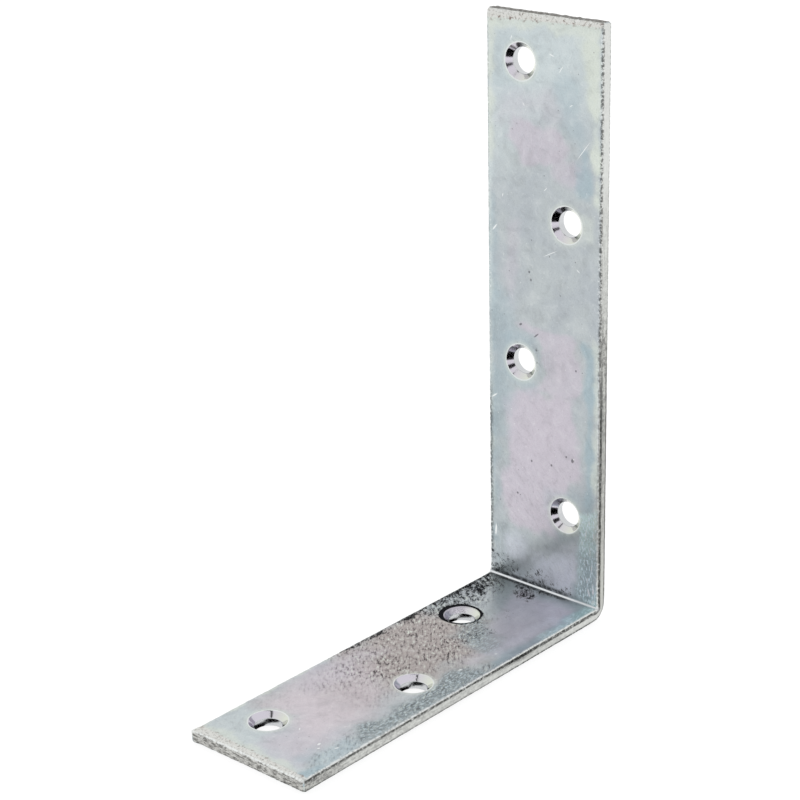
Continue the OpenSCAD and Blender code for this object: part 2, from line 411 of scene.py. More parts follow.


# Stains of the passivation, with painted light towards the upright's top and the foot's free end, and
# painted shade low by the fold, each an outline of (across, place) corners with a softness and a strength.
# On the upright a place is a height, on the foot it is a reach from the heel.
stains = {
    # partly a paler tone, partly painted light: lighter towards the upright's top and the foot's free end
    "lightTop": {
        "upright": [([(-16, 142), (16, 142), (16, 114), (-16, 116)], 34, 1.0),
                    ([(-16.4, 120), (-14.8, 120), (-14.8, 70), (-16.4, 70)], 1.4, 0.9)],
        "foot": [([(-16, 104), (16, 104), (16, 90), (-16, 84)], 22, 0.6)],
    },
    "nearFold": {
        "upright": [([(-2, 12), (11, 16), (12, 3.2), (-6, 3.2)], 6, 1.0),
                    ([(-11, 14), (-5, 14), (-5, 8), (-11, 8)], 4, 0.6)],
        "foot": [([(-6, 3.2), (12, 3.2), (13, 36), (7, 34), (-3, 12)], 7, 0.15),
                 ([(10, 13), (13, 13), (13.5, 36), (10, 36)], 3, 0.35)],
    },
    "foldTeal": {
        "upright": [([(11, 25), (15.6, 27), (15.6, 3.4), (10, 5)], 2, 0.9)],
        "foot": [([(14, 3.4), (16, 3.4), (16, 24), (14, 22)], 2, 0.6)],
    },
    "foldShade": {
        "upright": [([(10.5, 15), (15.8, 15), (15.8, 3.4), (10.5, 3.4)], 4, 0.8)],
        "foot": [],
    },
    "slate": {
        "upright": [
            ([(-15, 18), (-10, 17), (-10, 4), (-15, 4)], 5, 0.3),
            ([(-15.5, 72), (-11.5, 70), (-11.5, 22), (-15.5, 20)], 4, 0.18),
            ([(-4, 64), (3, 64), (3, 56), (-3, 56)], 3, 0.2),
        ],
        "foot": [
            ([(9, 47), (16, 42), (16, 84), (11.5, 82)], 3, 0.9),
            ([(-3, 24), (9, 27), (9, 35), (-2, 36)], 5, 0.7),
        ],
    },
    "paleLilac": {
        "upright": [],
        "foot": [([(-12, 75), (8, 74), (7, 87), (-3, 86), (-3, 83), (-12, 84)], 8, 0.85)],
    },
    "lilac": {
        "upright": [
            ([(-10.5, 112), (-8, 116), (-2, 114.5), (5, 115), (6, 109), (1, 106), (-5, 106),
              (-8, 109)], 1.8, 0.85),
            ([(3, 109), (12, 108), (13, 102), (8, 102), (2, 105)], 3, 0.7),
            ([(-13, 122), (2, 124), (6, 118), (-12, 117)], 6, 0.4),
            ([(-9, 68.5), (2, 68), (9.5, 67), (10.5, 55), (8, 52), (-3, 53), (1, 58), (-2, 65)], 1.3, 0.8),
            ([(-11.5, 49), (-5, 53), (9, 53), (10.5, 33), (5, 28), (4, 18), (-10, 18), (-12.5, 24),
              (-10, 34)], 2.4, 1.0),
            ([(-10.5, 92), (-8, 92), (-8, 72), (-10.5, 72)], 3, 0.4),
        ],
        "foot": [
            ([(-4, 6), (14, 6), (13, 34), (12, 42), (9, 42), (7, 35), (-3, 13)], 5, 0.85),
            ([(-15, 52), (-8, 50), (-7, 74), (-15, 76)], 6, 0.6),
            ([(-2, 82), (12, 78), (12, 97), (-2, 97)], 7, 0.6),
        ],
    },
    "blush": {
        "upright": [([(-3, 51), (7, 51), (8, 34), (0, 31), (-6, 38)], 7, 0.7),
                    ([(0, 66), (9, 66), (9, 56), (2, 56)], 5, 0.35)],
        "foot": [([(-13, 60), (9, 58), (9, 80), (-12, 84)], 10, 0.9),
                 ([(2, 84), (9, 84), (9, 94), (2, 94)], 6, 0.5)],
    },
    "teal": {
        "upright": [
            ([(12, 66), (14.6, 66), (14.8, 26), (12, 26)], 2, 0.9),
            ([(10, 112), (13, 112), (13, 100), (10, 101)], 2.5, 0.8),
            ([(-15.6, 100), (-13.4, 98), (-13.8, 12), (-15.6, 12)], 2.5, 0.5),
            ([(1, 29), (9, 30), (12, 26), (11, 18), (3, 18)], 4, 0.3),
            ([(-15, 18), (-3, 16), (-5, 4), (-15, 4)], 6, 0.12),
            ([(-12, 65), (-3, 65), (-2, 54), (-12, 53)], 4, 0.5),
            ([(-15, 76), (-9, 74), (-10, 40), (-15, 38)], 6, 0.5),
            ([(3, 131), (9, 127), (10, 114), (5, 116)], 4, 0.45),
            ([(-13, 136), (-3, 136), (-4, 122), (-13, 122)], 6, 0.22),
        ],
        "foot": [
            ([(13.6, 5), (16, 5), (16, 40), (13.6, 38)], 2, 0.8),
            ([(11, 84), (16, 82), (16, 95), (10, 95)], 4, 0.6),
            ([(14, 94), (16, 94), (16, 100), (13.5, 100)], 1.5, 1.0),
        ],
    },
    "palePatina": {
        "upright": [
            ([(10.0, 138), (15.8, 139), (15.8, 100), (14.2, 100), (12.6, 122), (11.4, 129)], 2.2, 1.0),
            ([(14.6, 68), (15.8, 68), (15.8, 20), (14.8, 20)], 1.2, 0.6),
            ([(-15.9, 139), (-13.8, 139), (-14.2, 106), (-15.9, 104)], 1.8, 0.8),
            ([(-15.9, 104), (-15.0, 104), (-15.0, 10), (-15.9, 10)], 1.2, 0.3),
            ([(-15, 140), (15, 140), (15, 136.6), (-15, 136.2)], 1.4, 0.7),
            ([(11, 97), (14, 97), (14, 91), (11, 91)], 3, 0.5),
        ],
        "foot": [
            ([(-16, 100), (16, 100), (16, 97.6), (-16, 97)], 1.4, 0.7),
            ([(-16, 60), (-15.2, 60), (-15.2, 100), (-16, 100)], 0.9, 0.6),
        ],
    },
    "tan": {
        "upright": [],
        "foot": [
            ([(-17, 32), (-9, 27), (0, 25), (7, 36), (9, 50), (2, 60), (-17, 58)], 7, 1.0),
            ([(-9, 58), (5, 58), (4, 70), (-6, 72)], 7, 0.5),
            ([(6, 38), (13, 39), (12, 48), (8, 57), (4, 56)], 5, 0.55),
        ],
    },
    "speckle": {
        "upright": [
            ([(-16, 142), (16, 142), (16, 3), (-16, 3)], 4, 0.05),
            ([(-15, 34), (15, 34), (15, 4), (-15, 4)], 12, 0.08),
        ],
        "foot": [
            ([(-16, 5), (-8, 6), (-6, 16), (-8, 31), (-12, 42), (-13.6, 60), (-16, 60)], 3, 1.0),
            ([(-14, 27), (0, 22), (5, 30), (7, 40), (6, 52), (0, 60), (-13, 60)], 8, 0.95),
            ([(-12, 58), (7, 56), (7, 70), (-8, 72)], 9, 0.45),
            ([(10.5, 44), (16, 36), (16, 97), (11, 97)], 3, 0.6),
            ([(-15, 60), (-8, 60), (-7, 96), (-15, 96)], 6, 0.12),
        ],
    },
    "soot": {
        "upright": [
            ([(-15.5, 8.4), (-11, 8.2), (-6, 7), (-2, 6.6), (9, 6.4), (11, 3.4), (-15.5, 3.4)], 3.4, 0.42),
            ([(-9, 7.4), (-7, 7.4), (-6.8, 5.4), (-9, 5.2)], 1.2, 0.6),
            ([(-4, 66), (-2, 65), (-0.6, 61), (-2, 57.5), (-2.4, 62)], 1.4, 0.2),
            ([(-8, 54.6), (-5, 54.4), (-9, 51), (-11, 50)], 1.2, 0.12),
        ],
        "foot": [
            ([(-12, 3.6), (-3, 3.6), (2, 8), (1, 10), (-5, 7.6), (-10, 6)], 3.5, 0.70),
            ([(-15.8, 4), (-11, 5), (-8.5, 12), (-8.5, 22), (-11, 31), (-15.8, 34)], 4, 0.52),
            ([(-15.8, 4), (-11, 5), (-10, 13), (-15.8, 15)], 3, 0.4),
            ([(-16.5, 4), (-15.0, 4), (-15.0, 57), (-16.5, 57)], 1.0, 0.75),
            ([(0, 3.6), (9, 3.6), (8, 4.6), (0, 5)], 1.2, 0.5),
            ([(0.5, 19.5), (3.5, 19.5), (3.5, 17), (0.5, 17)], 2.5, 0.2),
            ([(-1, 26), (5, 28), (5, 35), (-1, 34)], 5, 0.28),
        ],
    },
}
stainRules = {
    "waver": 0.45,              # how far an outline wanders
    "waverBySoftness": 0.16,    # and how much more for each millimetre of softness
    "waverLength": 6.0,         # its wavelength, to which the softness is added
    "fineWaver": (1.8, 0.3),    # wavelength and share of the finer wander
    "firstSeed": 100,           # random seed of the first stain, and the step to the next one's
    "seedStep": 40,
    "backShift": 8.0,           # the hidden faces carry the same stains, moved along and mirrored
    "backDirt": 0.3,            # and this share of the dirt
    "dirt": ("soot", "speckle"),
    "innerOnly": ("nearFold", "foldTeal", "foldShade"),     # left off the hidden faces
}


def outlineGap(across, place, corners):
    # signed distance to a closed outline: the least distance to its sides, negative inside, where the
    # outline winds round the point
    corner = np.array(corners, float)
    side = np.roll(corner, -1, axis=0) - corner
    reach = np.stack([across, place], axis=1)[:, None, :] - corner
    share = np.clip((reach * side).sum(axis=2) / (side ** 2).sum(axis=1), 0.0, 1.0)
    gap = np.linalg.norm(reach - share[..., None] * side, axis=2).min(axis=1)
    starts = corner[:, 1] <= place[:, None]
    ends = np.roll(starts, -1, axis=1)
    turn = side[:, 0] * reach[..., 1] - side[:, 1] * reach[..., 0]
    winding = (starts & ~ends & (turn > 0.0)).sum(axis=1) - (~starts & ends & (turn < 0.0)).sum(axis=1)
    return np.where(winding != 0, -gap, gap)


def stainMask(flat, name, seed):
    # the stain's outlines, wavered by ripples and smoothed over their softness, laid over each other
    along, across, depth = flat.T
    onBack = depth > thickness / 2.0
    across = np.where(onBack, -across, across)
    along = np.where(onBack, along + stainRules["backShift"], along)
    mask = np.zeros(len(flat))
    fineLength, fineShare = stainRules["fineWaver"]
    for leg, placeOf in (("upright", heightAlong), ("foot", alongFoot)):
        place = placeOf(along)
        here = place > thickness
        for corners, softness, strength in stains[name][leg]:
            waver = stainRules["waver"] + stainRules["waverBySoftness"] * softness
            coarse = ripple(flat, stainRules["waverLength"] + softness, seed)
            wander = waver * (coarse + fineShare * ripple(flat, fineLength, seed + 1))
            gap = outlineGap(across, place, corners) + wander
            cover = strength * smooth(0.5 - gap / softness) * here
            mask = 1.0 - (1.0 - mask) * (1.0 - cover)
            seed += 2
    if name in stainRules["dirt"]:
        mask *= np.where(onBack, stainRules["backDirt"], 1.0)
    if name in stainRules["innerOnly"]:
        mask *= ~onBack
    return mask


def addObject(name, data):
    made = bpy.data.objects.new(name, data)
    bpy.context.scene.collection.objects.link(made)
    return made


def buildBracket():
    # two faces, an edge and the holes as patches: welded, shaped, folded, then roughened along the normals
    alongLines, acrossLines = gridLines()
    patches = [sheet(alongLines, acrossLines, 0.0), sheet(alongLines, acrossLines, thickness)]
    patches.append(belt(alongLines, acrossLines))
    patches += [holeRings(*place) for place in holes]
    flat, quads, triangles = weld(patches)
    mesh = bpy.data.meshes.new("zincAngleBracket")
    folded = foldStrip(shapeEdges(flat))
    mesh.from_pydata((folded / metre).tolist(), [], quads.tolist() + triangles.tolist())
    mesh.update()
    turnOutwards(mesh)
    normals = np.zeros(len(flat) * 3, np.float32)
    mesh.vertices.foreach_get("normal", normals)
    folded += normals.reshape(-1, 3) * surfaceRelief(flat)[:, None]
    mesh.vertices.foreach_set("co", (folded / metre).astype(np.float32).ravel())
    mesh.polygons.foreach_set("use_smooth", np.ones(len(mesh.polygons), bool))
    writeAttributes(mesh, flat)
    mesh.update()
    print("bracket mesh", len(flat), "points", 2 * len(quads) + len(triangles), "triangles")
    return addObject("zincAngleBracket", mesh)


def turnOutwards(mesh):
    # patches are wound either way, so one pass makes every face point out of the closed strip
    work = bmesh.new()
    work.from_mesh(mesh)
    bmesh.ops.recalc_face_normals(work, faces=work.faces)
    openEdges = sum(1 for edge in work.edges if not edge.is_manifold)
    work.to_mesh(mesh)
    work.free()
    print("open edges", openEdges)


def edgeGap(flat):
    # distance from the nearest edge line, over a face or down a side
    along, across, depth = flat.T
    down = np.minimum(depth, thickness - depth)
    fromSide = fromSides(across)
    fromEnd = fromEnds(along)
    return np.minimum(np.maximum(fromSide, down), np.maximum(fromEnd, down))


def sideWearAndShade(along, uprightName, footName):
    # straight lines between the stated places, on the leg that the point belongs to
    upright = np.interp(heightAlong(along), *zip(*wearAndShade[uprightName]))
    foot = np.interp(alongFoot(along), *zip(*wearAndShade[footName]))
    return np.where(along > (bendStart + bendEnd) / 2.0, upright, foot)


def edgeGrime(flat):
    # straight lines between the stated heights, fading out from the left inner edge
    along, across, depth = flat.T
    full, none = wearAndShade["grimeReach"]
    near = smooth((none - halfWidth - across) / (none - full)) * (depth < strip["edgeRadius"])
    return near * np.interp(heightAlong(along), *zip(*wearAndShade["leftGrime"]))


def sootRing(flat):
    # a ring round the mouth of the foot hole next to the fold, wider on its left, with strokes to its sides
    along, across, depth = flat.T
    centreAlong, centreAcross, _ = holes[holes[:, 0] < bendStart][-1]
    radius = np.hypot(along - centreAlong, across - centreAcross)
    leftwards = (centreAcross - across) / np.maximum(radius, 1.0)
    wide = hole["blackRing"] * (1.0 + hole["ringLean"] * leftwards)
    outside = radius - hole["mouthRadius"]
    fray = smooth(1.0 - outside / wide / hole["ringFray"]) * np.abs(leftwards)
    ring = hole["ringSoot"] * smooth(hole["ringSoft"] - np.abs(outside - wide) / wide) + fray
    return ring * (outside > -hole["ringInside"]) * (depth < hole["blackRing"])


def writeAttributes(mesh, flat):
    # what the plating's shader reads: the place on the flat strip, distances, and the stains
    along, across, depth = flat.T
    place = mesh.attributes.new("stripPlace", "FLOAT_VECTOR", "POINT")
    place.data.foreach_set("vector", flat.astype(np.float32).ravel())
    radius = holeRadii(along, across)
    nearest = holes[radius.argmin(axis=1)]
    masks = {
        "holeRadius": radius.min(axis=1),
        "holeSide": np.clip((across - nearest[:, 1]) / hole["mouthRadius"], -1.0, 1.0),
        "fromSide": fromSides(across),
        "fromEnd": fromEnds(along),
        "edgeGap": edgeGap(flat),
        "edgeWear": sideWearAndShade(along, "uprightSide", "footSide"),
        "sideLine": sideWearAndShade(along, "uprightLines", "footLines"),
        "edgeGrime": edgeGrime(flat),
    }
    for number, name in enumerate(stains):
        masks[name] = stainMask(flat, name, stainRules["firstSeed"] + stainRules["seedStep"] * number)
    masks["soot"] = np.maximum(masks["soot"], sootRing(flat))
    for name, values in masks.items():
        attribute = mesh.attributes.new(name, "FLOAT", "POINT")
        attribute.data.foreach_set("value", values.astype(np.float32))


class Wire:
    # one output socket; arithmetic on it adds Math nodes to its tree
    def __init__(self, tree, socket):
        self.tree = tree
        self.socket = socket

    def node(self, kind, settings=None, inputs=None, output=0):
        made = self.tree.nodes.new(kind)
        for name, value in (settings or {}).items():
            setattr(made, name, value)
        for name, value in (inputs or {}).items():
            slot = made.inputs[name]
            if isinstance(value, Wire):
                self.tree.links.new(value.socket, slot)
            else:
                slot.default_value = value
        return Wire(self.tree, made.outputs[output]) if made.outputs else None

    def maths(self, operation, first, second=0.0):
        return self.node("ShaderNodeMath", {"operation": operation}, {0: first, 1: second})

    def __add__(self, other):
        return self.maths("ADD", self, other)

    def __radd__(self, other):
        return self.maths("ADD", other, self)

    def __sub__(self, other):
        return self.maths("SUBTRACT", self, other)

    def __rsub__(self, other):
        return self.maths("SUBTRACT", other, self)

    def __mul__(self, other):
        return self.maths("MULTIPLY", self, other)

    def __rmul__(self, other):
        return self.maths("MULTIPLY", other, self)

    def between(self, begin, full):
        # 0 at begin, 1 at full, smooth in between and held outside; either may be the larger
        values = {"Value": self, "From Min": begin, "From Max": full}
        return self.node("ShaderNodeMapRange", {"interpolation_type": "SMOOTHSTEP"}, values, "Result")

    def tint(self, under, over):
        # colour under where the wire is 0, over where it is 1
        values = {"Factor": self, 6: under, 7: over}
        return self.node("ShaderNodeMix", {"data_type": "RGBA"}, values, 2)


def freshMaterial(name):
    material = bpy.data.materials.new(name)
    material.use_nodes = True
    material.node_tree.nodes.clear()
    return material, Wire(material.node_tree, None)


def linear(red, green, blue):
    # an sRGB colour as 0 to 255, as Blender's linear colour
    share = np.array([red, green, blue]) / 255.0
    value = np.where(share <= 0.04045, share / 12.92, ((share + 0.055) / 1.055) ** 2.4)
    return (*value.tolist(), 1.0)


zinc = {
    # colours as the photograph shows them, sRGB
    "blueGrey": linear(183, 190, 195),
    # paler tone with painted light towards the top
    "lightTop": linear(206, 216, 218),
    "nearFold": linear(228, 232, 243),
    "foldTeal": linear(204, 229, 229),
    "foldShade": linear(166, 184, 188),
    "slate": linear(128, 139, 142),
    "paleLilac": linear(212, 204, 210),
    "lilac": linear(203, 197, 207),
    "blush": linear(200, 190, 195),
    "teal": linear(169, 188, 196),
    "palePatina": linear(216, 223, 214),
    "tan": linear(178, 168, 165),
    "soot": linear(30, 31, 34),
    "stroke": linear(62, 58, 60),
    "pit": linear(88, 88, 92),
    # pale flecks, and also the painted highlights along the edges
    "fleck": linear(240, 243, 242),
    "nick": linear(226, 242, 250),
    "side": linear(229, 231, 228),
    # worn side colour, and also the band between a side's painted shade lines
    "sideWorn": linear(202, 203, 198),
    # painted shade: the dark lines along the sides
    "sideLine": linear(58, 60, 58),
    "sideDark": linear(96, 95, 96),
    "rolledEnd": linear(222, 221, 217),
    "rolledDark": linear(146, 143, 138),
    "rust": linear(124, 104, 96),
    "torn": linear(212, 212, 208),
    "tornDark": linear(112, 111, 108),
    "topEnd": linear(96, 92, 86),
    # painted highlight: the bright line along the middle of the fold's inner face
    "burnish": linear(228, 230, 233),
    "coneLeft": linear(206, 202, 212),
    "coneRight": linear(220, 225, 210),
    "bore": linear(206, 208, 210),
    "faceRoughness": 0.34,
    "coneRoughness": 0.14,
    "boreRoughness": 0.20,
    "sideRoughness": 0.46,
    "bumpHeight": 0.0001,       # metres for a height of 1
    "bumpStrength": 0.5,
}

# Single marks: across, height or reach, lean from the strip's length in degrees, half length, half width.
marks = {
    "pit": [
        (-4.0, 81.2, 0, 0.40, 0.34), (-3.5, 79.4, 0, 0.45, 0.30), (-6.5, 68.2, 60, 0.60, 0.35),
        (2.5, 35.6, 0, 0.38, 0.36), (-3.3, 35.2, 0, 0.40, 0.32), (8.6, 38.3, 20, 0.70, 0.55),
        (6.8, 38.8, 40, 0.35, 0.30), (-7.5, 26.0, 0, 0.36, 0.32), (-2.0, 66.4, 50, 1.10, 0.22),
        (9.4, 60.4, 0, 0.36, 0.30),
    ],
    "fleck": [
        (11.0, 111.5, 38, 3.40, 0.11), (-14.0, 90.0, 40, 1.30, 0.24), (-14.4, 49.0, 55, 1.20, 0.22),
        (2.2, 131.4, -70, 0.90, 0.16), (4.8, 128.6, 35, 1.30, 0.12), (2.0, 86.6, 62, 2.60, 0.10),
        (-14.2, 14.6, 4, 1.90, 0.35), (12.6, 21.0, 4, 1.80, 0.16), (13.8, 17.0, -3, 2.20, 0.14),
        (14.3, 12.6, 0, 1.60, 0.18), (8.9, 38.7, 0, 0.22, 0.20), (12.2, 14.2, 3, 1.10, 0.13),
        (14.8, 21.0, -4, 1.40, 0.15), (13.1, 9.4, 6, 0.90, 0.16), (14.9, 4.2, 30, 1.0, 0.70),
        (13.6, 6.4, -20, 1.4, 0.35), (14.8, 7.2, 0, 1.3, 0.40), (11.5, 18.6, 0, 0.80, 0.12),
        (14.6, 8.4, 2, 0.80, 0.18), (13.5, 24.2, -6, 0.90, 0.14), (-9.0, 134.0, 20, 0.70, 0.14),
        (7.6, 121.0, 62, 0.60, 0.13), (-5.6, 119.6, -30, 0.55, 0.12), (0.6, 101.2, 48, 0.80, 0.10),
        (-11.6, 98.0, 15, 0.60, 0.14), (9.8, 84.0, -55, 0.70, 0.12),
    ],
    "footFleck": [
        (11.8, 34.8, 40, 0.45, 0.26), (10.4, 45.5, 20, 0.70, 0.24), (8.5, 88.1, 0, 0.60, 0.30),
        (1.1, 86.3, -40, 0.50, 0.16), (12.4, 86.9, 20, 0.70, 0.20), (9.6, 89.4, 30, 0.40, 0.24),
    ],
}
markEdge = 0.45                 # share of a mark's half size that is at full strength

# Noise patterns on the flat strip: scale per millimetre, detail, roughness and distortion. One with a
# direction has first its turn in degrees and its scales along, across and through the strip.
textures = {
    "cloud": (None, 0.09, 4.0, 0.55, 0.4),
    "smudge": (None, 0.26, 4.0, 0.62, 0.8),
    "blotch": (None, 0.42, 3.0, 0.60, 0.5),
    "mottle": (None, 0.8, 4.0, 0.65, 0.6),
    "pitted": (None, 1.3, 1.0, 0.50, 0.0),
    "beads": (None, 1.5, 2.0, 0.60, 0.0),
    "torn": (None, 2.0, 4.0, 0.75, 0.5),
    "grain": (None, 3.1, 3.0, 0.70, 0.0),
    "strokes": ((41.0, 0.55, 1.3, 1.0), 1.0, 4.0, 0.72, 0.0),
    "specks": ((41.0, 0.60, 1.55, 1.0), 1.0, 3.0, 0.68, 0.0),
    "scuff": ((-52.0, 0.10, 3.4, 1.0), 1.0, 2.0, 0.60, 0.2),
    "nicks": ((25.0, 0.8, 1.6, 1.0), 1.7, 1.0, 0.50, 0.0),
    "rubs": ((3.0, 0.9, 2.4, 1.0), 1.0, 3.0, 0.65, 0.0),
    "lengthwise": ((0.0, 0.8, 2.2, 1.0), 1.0, 4.0, 0.70, 0.0),
    "sideStreaks": ((0.0, 0.25, 1.0, 2.0), 1.0, 4.0, 0.70, 0.0),
    "layers": ((0.0, 1.0, 0.7, 2.4), 1.0, 4.0, 0.70, 0.4),
}
# Patterns that are sums of others, and of a stain, by share.
mixes = {
    "sootMix": {"strokes": 0.45, "blotch": 0.25, "grain": 0.30, "soot": 0.20},
    "sideMix": {"lengthwise": 0.30, "sideStreaks": 0.40, "grain": 0.30},
    "edgeMix": {"beads": 0.65, "grain": 0.35},
}

# Zones in millimetres: where one starts and where it is full. A band goes on with where it is last full and
# where it ends.
zones = {
    "innerFace": (1.0, 0.6),                # depth
    "side": (0.26, 0.08),                   # from a long side
    "end": (0.22, 0.05),                    # from a sheared end
    "roll": (1.9, 1.4),
    "rollBorder": (0.9, 1.5, 1.7, 2.4),
    "innerEnd": (1.2, 0.6),
    "innerEndDepth": (1.8, 1.2),
    "top": (4.0, 3.0),                      # below the upright's free end
    "hole": (0.04, -0.04),                  # outside a mouth
    "holeDepth": (thickness - 0.05, thickness - 0.20),
    "lip": (-0.10, 0.05, 0.15, 0.35),
    "nearMouth": (1.5, 0.2),
    "bore": (0.08, 0.0),                    # outside a throat
    "coneSide": (-0.8, 0.8),                # across a hole, in mouth radii
    "foldDirt": (0.7, 1.2, 2.0, 2.8),       # from the middle of the fold
    "burnish": (0.95, 0.40),
    "foldDirtRight": (5.0, 10.0),           # across the strip
    "burnishRight": (7.0, 11.0),
    "rightHalf": (-2.0, 2.0),
    "farFoot": (18.0, 50.0),                # reach along the foot
    # the sides' dark lines are painted shade
    "upperLine": (0.22, 0.36),              # depth of the sides' dark lines
    "upperLineEnd": (1.25, 0.95),
    "lowerLine": (2.25, 2.50),
    "edgeDirt": (0.75, 0.16),               # from an edge line
    # edgeShine and edgeLine place painted highlights along the edges
    "edgeShine": (1.20, 0.60),
    "edgeLine": (0.46, 0.28),
    "edgeLineDepth": (0.28, 0.16),
    "edgeCleanDepth": (1.0, 0.5),
}

# How patterns show: which one, its value where the effect starts and where it is full, the effect's share,
# and the least share where there is one.
effects = {
    "patinaClouds": ("cloud", 0.35, 0.65, 0.18),
    "stainMottle": ("mottle", 0.25, 0.70, 0.25, 0.80),
    "foldMottle": ("mottle", 0.50, 0.64, 0.25),
    "greyGrain": ("grain", 0.42, 0.80, 0.20),
    "paleMottle": ("mottle", 0.50, 0.80, 0.24),
    "darkSmudge": ("smudge", 0.48, 0.72, 0.14),
    "paleSmudge": ("smudge", 0.48, 0.28, 0.14),
    "speckleClouds": ("cloud", 0.35, 0.65, 0.4, 0.6),
    "speckleSmudge": ("smudge", 0.36, 0.60, 0.7, 0.6),
    "speckleMottle": ("mottle", 0.42, 0.66, 0.26),
    "speckleStrokes": ("specks", 0.50, 0.64, 1.0),
    "speckleGlint": ("specks", 0.45, 0.36, 0.75),
    "sootGrain": ("sootMix", 0.56, 0.67, 1.0),
    "sootBorder": ("soot", 0.03, 0.20, 1.0),
    "foldDirt": ("mottle", 0.30, 0.55, 0.85),
    "loosePits": ("pitted", 0.755, 0.80, 1.0),
    "looseFlecks": ("nicks", 0.745, 0.80, 0.6),
    "scratches": ("scuff", 0.72, 0.76, 0.4),
    "scratchGaps": ("mottle", 0.45, 0.65, 1.0),
    "rubbed": ("rubs", 0.52, 0.57, 1.0),
    "sideStreak": ("sideMix", 0.41, 0.58, 1.0),
    "lineGaps": ("lengthwise", 0.34, 0.52, 0.50, 0.45),
    "footLineGaps": ("beads", 0.54, 0.38, 0.35),
    "rollTorn": ("torn", 0.34, 0.50, 1.0),
    "topRust": ("mottle", 0.59, 0.66, 1.0),
    "borderRust": ("mottle", 0.52, 0.66, 0.7),
    "endLayers": ("layers", 0.38, 0.60, 1.0),
    "edgeBeads": ("edgeMix", 0.46, 0.56, 1.0),
    "grimeBeads": ("beads", 0.40, 0.58, 0.40, 0.25),
    "edgeShine": ("beads", 0.46, 0.36, 0.4),
    "lineBeads": ("beads", 0.46, 0.62, 0.8),
    "burnish": ("mottle", 0.30, 0.52, 0.5, 0.5),
}

# Shares of one colour over another, from 0 to 1.
shares = {
    # the paler ring round the mouths is painted light
    "mouthPatina": 0.4,
    "speckle": 0.85,
    # the fold's dark bands are dirt and painted shade; this share makes both weaker on the right
    "foldDirtRight": 0.85,      # how much cleaner the fold is on the right
    "pits": 0.75,
    "flecks": 0.85,
    "footFlecks": 0.9,
    "slateRubs": 0.45,          # bright rubs on the slate stains
    "footSideClean": 0.75,      # how much lighter the foot's side is beside its lines
    "roll": 0.85,
    "topEnd": 0.8,
    "edgeDirtLeft": 0.20,
    "edgeDirtRight": 0.65,
    # the bright edge line of a side is a painted highlight
    "edgeClean": 0.9,           # how much dirt the bright edge line of a side keeps off
    "burnishRight": 0.5,        # how much weaker the fold's bright line is on the right
    "lip": 0.55,
    "rubFilm": 0.7,             # how dull the rubs and the light by the fold are
    "foldFilm": 0.10,
}
# The sides' dark lines of painted shade, in millimetres: how ragged they are, and how the far foot's lines
# thin and sink.
sideLines = {
    "fray": 0.5,
    "upperThin": 0.30,
    "lowerSink": 0.12,
    "lowerFade": 0.35,          # share by which the far foot's lower line is weaker
}
# The rust of the roll-over: its border wanders, and the whole is narrower on the right.
rollOver = {"fray": 1.4, "skew": 0.02, "scale": 1.05}

# What changes the roughness of the faces, and the heights that the bump adds or takes.
roughening = {"mottle": 0.16, "dirt": 0.25, "speckle": 0.15, "bright": -0.08, "nearFold": 0.16}
heights = {
    "faceGrain": 0.12, "faceLines": 0.05, "scratches": 0.4, "pits": -0.7, "speckle": -0.5, "soot": -0.2,
    "sideGrain": 0.5, "sideLines": 1.0, "tornEnd": 2.0, "tornRoll": 0.8,
}
# The order in which the passivation's colours lie over each other.
stainOrder = (
    "lightTop", "tan", "blush", "lilac", "paleLilac", "teal", "slate", "nearFold", "foldTeal", "foldShade",
    "palePatina",
)
# What makes the faces uneven all over, and its colour.
unevenness = {"greyGrain": "pit", "paleMottle": "fleck", "darkSmudge": "pit", "paleSmudge": "fleck"}


